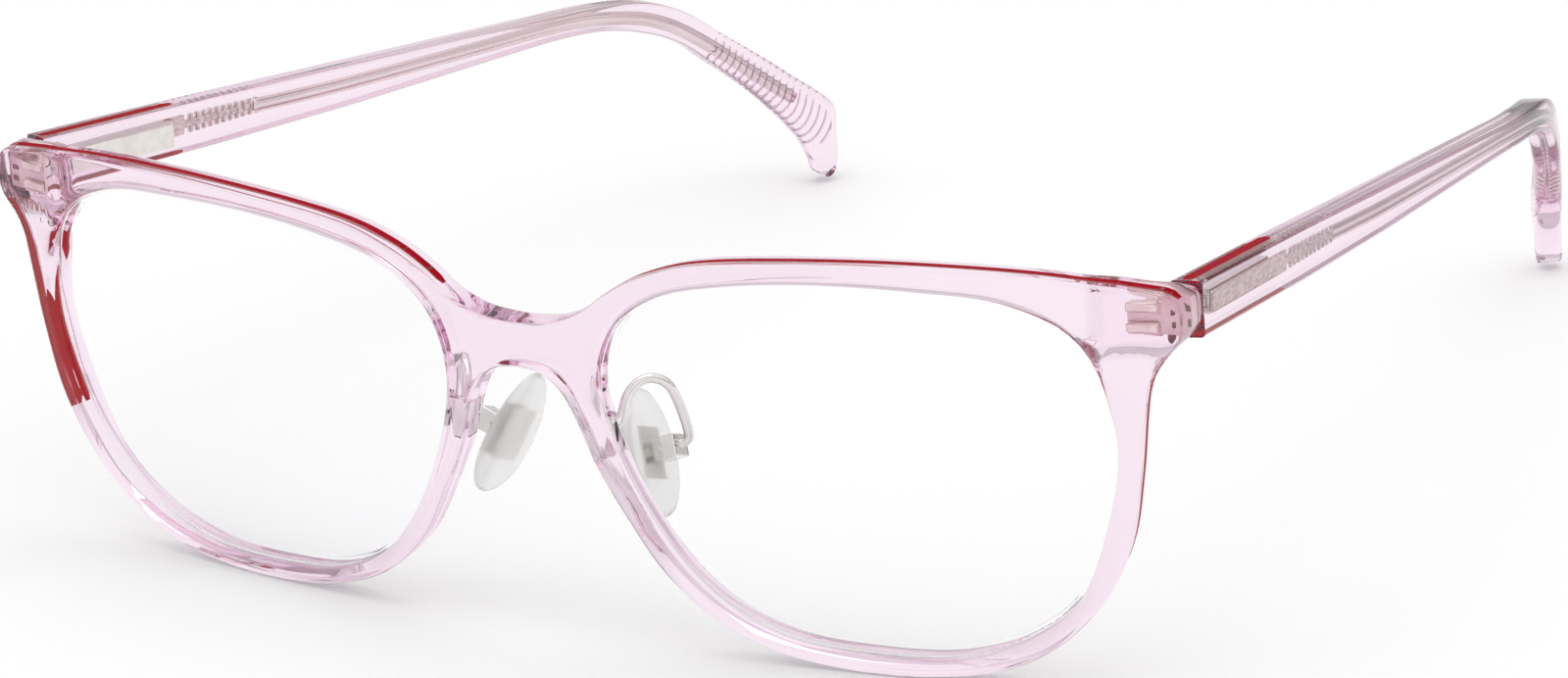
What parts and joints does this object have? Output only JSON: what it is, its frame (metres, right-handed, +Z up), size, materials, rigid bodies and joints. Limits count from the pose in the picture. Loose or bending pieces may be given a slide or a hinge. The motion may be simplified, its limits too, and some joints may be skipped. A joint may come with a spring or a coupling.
{
  "type": "eyeglasses",
  "caption": "Crystal acetate eyeglasses with clear lenses, dark red painted edge lines, spring-hinged folding temples and adjustable silicone nose pads.",
  "frame": {"origin": "middle of the footprint, on the table that the open glasses stand on", "axes": "+X to the side of the right-hand lens in the row, -Y the way the lenses face, so the temples run to +Y, +Z up"},
  "size_m": [0.1348, 0.1376, 0.0424],
  "materials": {
    "acetate": "polished crystal acetate with a pale pink tint",
    "lens": "clear coated lens plastic",
    "painted_line": "dark red lacquer let into the edge",
    "nickel": "polished nickel plate",
    "spring_steel": "bright drawn wire",
    "core_metal": "satin rolled core wire",
    "pad_wire": "bright plated wire",
    "silicone": "milky soft silicone"
  },
  "bodies": {
    "front": {"frame_front": "acetate", "right_lens": "lens", "right_brow_line": "painted_line", "right_side_line": "painted_line", "right_front_hinge": "nickel", "right_pad_arm": "pad_wire", "right_pad_screw": "nickel", "left_lens": "lens", "left_brow_line": "painted_line", "left_side_line": "painted_line", "left_front_hinge": "nickel", "left_pad_arm": "pad_wire", "left_pad_screw": "nickel"},
    "right_screw": {"right_hinge_screw": "nickel"},
    "right_link": {"right_hinge_tongue": "nickel", "right_hinge_spring": "spring_steel", "right_spring_nut": "nickel"},
    "right_arm": {"right_temple": "acetate", "right_temple_core": "core_metal", "right_hinge_box": "nickel", "right_temple_top_line": "painted_line", "right_temple_bottom_line": "painted_line"},
    "right_pad": {"right_nose_pad": "silicone", "right_pad_lug": "nickel"},
    "left_screw": {"left_hinge_screw": "nickel"},
    "left_link": {"left_hinge_tongue": "nickel", "left_hinge_spring": "spring_steel", "left_spring_nut": "nickel"},
    "left_arm": {"left_temple": "acetate", "left_temple_core": "core_metal", "left_hinge_box": "nickel", "left_temple_top_line": "painted_line", "left_temple_bottom_line": "painted_line"},
    "left_pad": {"left_nose_pad": "silicone", "left_pad_lug": "nickel"}
  },
  "joints": [
    {"name": "right_flex", "type": "hinge", "parent": "front", "child": "right_screw", "pos_m": [0.0634, -0.05437, 0.03778], "axis": [0, -0.0671, 0.9977], "range_deg": [-10, 0], "stiffness_Nm_per_rad": 0.6},
    {"name": "right_fold", "type": "hinge", "parent": "right_screw", "child": "right_link", "pos_m": [0.0634, -0.05437, 0.03778], "axis": [0, -0.0671, 0.9977], "range_deg": [0, 75]},
    {"name": "right_box_slide", "type": "slide", "parent": "right_link", "child": "right_arm", "axis": [-0.0882, 0.9899, -0.1109], "range_m": [0, 0.0009], "deforming": ["right_hinge_spring"]},
    {"name": "right_pad_rock", "type": "hinge", "parent": "front", "child": "right_pad", "pos_m": [0.01, -0.0583, 0.01798], "axis": [0.0586, 0.9291, -0.3653], "range_deg": [-8, 8]},
    {"name": "left_flex", "type": "hinge", "parent": "front", "child": "left_screw", "pos_m": [-0.0634, -0.05437, 0.03778], "axis": [0, 0.0671, -0.9977], "range_deg": [-10, 0], "stiffness_Nm_per_rad": 0.6},
    {"name": "left_fold", "type": "hinge", "parent": "left_screw", "child": "left_link", "pos_m": [-0.0634, -0.05437, 0.03778], "axis": [0, 0.0671, -0.9977], "range_deg": [0, 82]},
    {"name": "left_box_slide", "type": "slide", "parent": "left_link", "child": "left_arm", "axis": [0.0882, 0.9899, -0.1109], "range_m": [0, 0.0009], "deforming": ["left_hinge_spring"]},
    {"name": "left_pad_rock", "type": "hinge", "parent": "front", "child": "left_pad", "pos_m": [-0.01, -0.0583, 0.01798], "axis": [-0.0586, 0.9291, -0.3653], "range_deg": [-8, 8]}
  ],
  "couplings": [
    {"joint": "right_box_slide", "follows": "right_flex", "m_per_rad": -0.005},
    {"joint": "left_box_slide", "follows": "left_flex", "m_per_rad": -0.005}
  ]
}
